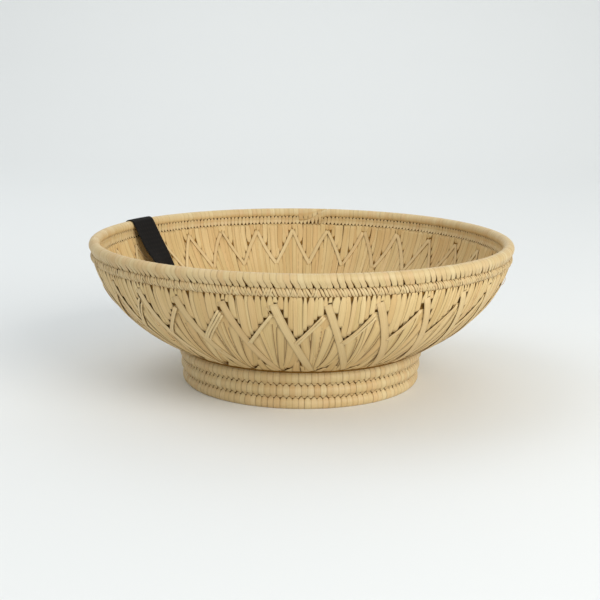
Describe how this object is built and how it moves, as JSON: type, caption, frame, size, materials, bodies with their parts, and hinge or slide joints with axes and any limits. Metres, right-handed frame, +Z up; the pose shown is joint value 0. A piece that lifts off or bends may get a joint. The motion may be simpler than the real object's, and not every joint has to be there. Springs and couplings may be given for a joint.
{
  "type": "grass basket",
  "caption": "Round shallow grass basket on a coiled foot ring, with a wrapped coil rim, zigzag leaf-strip wall and a small plain cloth label folded over the rim.",
  "frame": {"origin": "centre of the round foot, on the surface that the basket stands on", "axes": "+Z up along the bowl's axis; -Y is the side that the picture shows in front; +X is to the viewer's right"},
  "size_m": [0.254, 0.2535, 0.0892],
  "materials": {
    "grass": "dry coiled grass, matt",
    "wrapped_grass": "grass bundle wrapped in palm-leaf strip, soft sheen",
    "palm_leaf": "dried palm-leaf strip, soft sheen",
    "pale_leaf": "pale dried palm-leaf strip, soft sheen",
    "black_tape": "woven tape, matt"
  },
  "bodies": {
    "basket": {"floor_coil": "wrapped_grass", "foot_coil": "wrapped_grass", "rim_coil": "wrapped_grass", "bowl_wall": "grass", "upper_fans": "palm_leaf", "lower_leaves": "palm_leaf", "inner_zigzag": "pale_leaf", "label_saddle": "black_tape", "diagonal_strip_01": "pale_leaf", "diagonal_strip_02": "pale_leaf", "diagonal_strip_03": "pale_leaf", "diagonal_strip_04": "pale_leaf", "diagonal_strip_05": "pale_leaf", "diagonal_strip_06": "pale_leaf", "diagonal_strip_07": "pale_leaf", "diagonal_strip_08": "pale_leaf", "diagonal_strip_09": "pale_leaf", "diagonal_strip_10": "pale_leaf", "diagonal_strip_11": "pale_leaf", "diagonal_strip_12": "pale_leaf", "diagonal_strip_13": "pale_leaf", "diagonal_strip_14": "pale_leaf", "diagonal_strip_15": "pale_leaf", "diagonal_strip_16": "pale_leaf", "diagonal_strip_17": "pale_leaf", "diagonal_strip_18": "pale_leaf", "diagonal_strip_19": "pale_leaf", "diagonal_strip_20": "pale_leaf", "diagonal_strip_21": "pale_leaf", "diagonal_strip_22": "pale_leaf", "diagonal_strip_23": "pale_leaf", "diagonal_strip_24": "pale_leaf", "diagonal_strip_25": "pale_leaf", "diagonal_strip_26": "pale_leaf", "diagonal_strip_27": "pale_leaf", "diagonal_strip_28": "pale_leaf", "diagonal_strip_29": "pale_leaf", "diagonal_strip_30": "pale_leaf"},
    "label_flap": {"label_tail": "black_tape"}
  },
  "joints": [
    {"name": "label_fold", "type": "hinge", "parent": "basket", "child": "label_flap", "pos_m": [-0.10361, 0.05934, 0.08655], "axis": [-0.497, -0.8678, 0], "range_deg": [-4, 90], "stiffness_Nm_per_rad": 0.0015}
  ]
}
